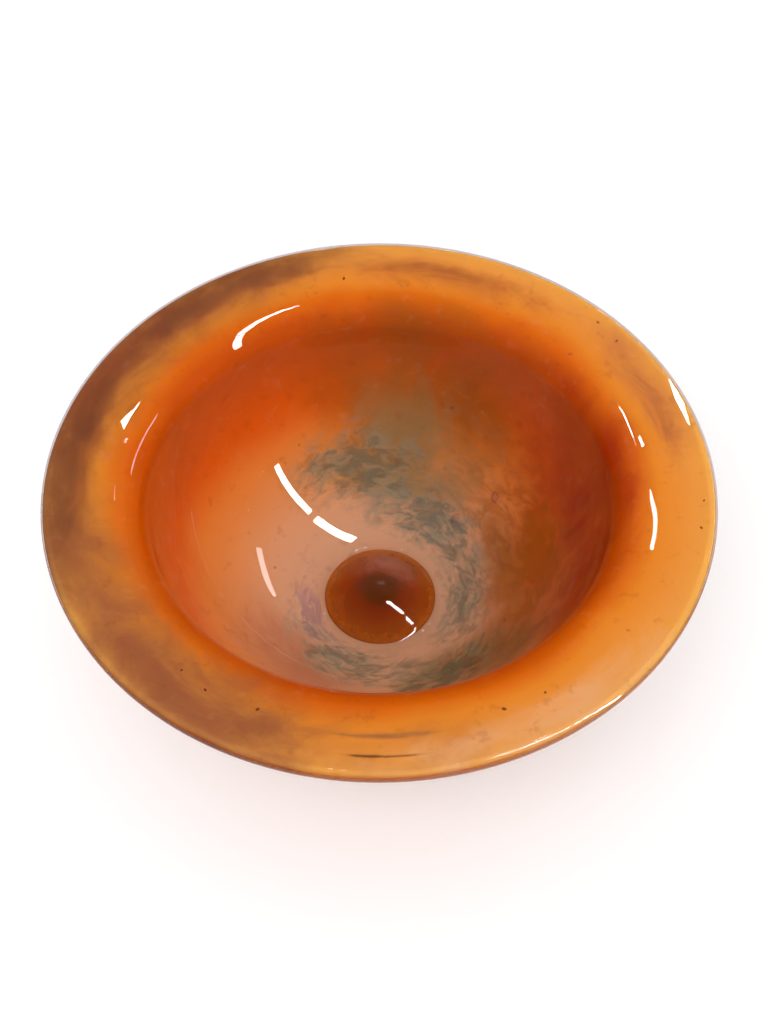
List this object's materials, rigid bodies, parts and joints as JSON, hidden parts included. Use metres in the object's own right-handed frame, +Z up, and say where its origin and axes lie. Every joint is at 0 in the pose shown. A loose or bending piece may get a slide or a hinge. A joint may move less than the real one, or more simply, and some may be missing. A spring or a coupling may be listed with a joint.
{
  "type": "art glass bowl",
  "caption": "Deep round blown glass bowl with a wide, gently rising rim, cased orange with smoky trails, a domed knob in the floor and a flat foot; holds or displays things",
  "frame": {"origin": "centre of the ground foot ring, on the surface the bowl stands on", "axes": "+Z up along the bowl's axis; +X to the right and +Y away when the bowl is seen from the front"},
  "size_m": [0.25, 0.25, 0.102],
  "materials": {
    "clear_glass": "polished",
    "lilac_clear_glass": "polished",
    "orange_glass": "polished",
    "deep_amber_glass": "polished",
    "grey_green_glass": "polished",
    "mustard_amber_glass": "polished",
    "violet_glass": "polished",
    "smoky_brown_glass": "polished",
    "dark_frit_glass": "polished"
  },
  "bodies": {
    "root": {"amber_swirl": "mustard_amber_glass", "base_button": "deep_amber_glass", "foot_disc": "clear_glass", "frit_specks": "dark_frit_glass", "grey_green_trail_far": "grey_green_glass", "grey_green_trail_near": "grey_green_glass", "grey_green_trail_near_right": "grey_green_glass", "grey_green_trail_right": "grey_green_glass", "grey_green_trail_upper": "grey_green_glass", "inner_casing": "clear_glass", "lip_wrap": "lilac_clear_glass", "orange_core": "orange_glass", "outer_casing": "clear_glass", "smoky_crescent_near": "smoky_brown_glass", "smoky_patch_far_left": "smoky_brown_glass", "smoky_patch_left": "smoky_brown_glass", "smoky_patch_right": "smoky_brown_glass", "smoky_streak_far": "smoky_brown_glass", "smoky_streak_near": "smoky_brown_glass", "violet_cloud": "violet_glass"}
  },
  "joints": []
}
